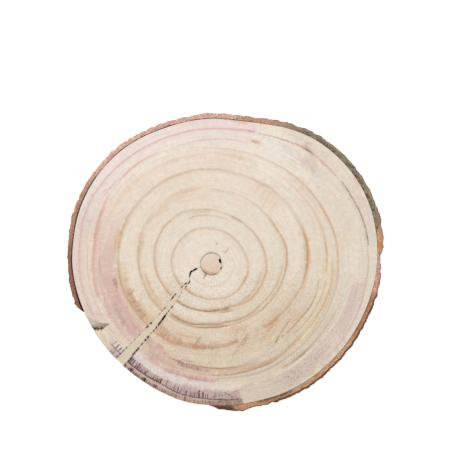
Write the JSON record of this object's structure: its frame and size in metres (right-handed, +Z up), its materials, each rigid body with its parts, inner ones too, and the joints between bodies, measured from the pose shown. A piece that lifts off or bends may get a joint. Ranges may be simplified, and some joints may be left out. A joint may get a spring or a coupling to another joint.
{
  "type": "wood slice",
  "caption": "Flat cross-cut tree slice with bark rim, growth rings, a wedge-filled radial crack and a plugged pith hole; lies flat as a board, base or stand.",
  "frame": {"origin": "centre of the bounding rectangle, on the underside", "axes": "+Z up out of the upper sawn face; +X along the slice's longest width; the filled crack runs from the pith towards -X -Y"},
  "size_m": [0.3006, 0.2818, 0.025],
  "materials": {
    "end_grain": "sawn and sanded end grain with rough bark at the rim",
    "pale_insert": "sanded pale wood, no bark",
    "plug_wood": "sanded dowel end grain"
  },
  "bodies": {
    "root": {"wood_slice": "end_grain", "crack_wedge": "pale_insert", "pith_plug": "plug_wood"}
  },
  "joints": []
}
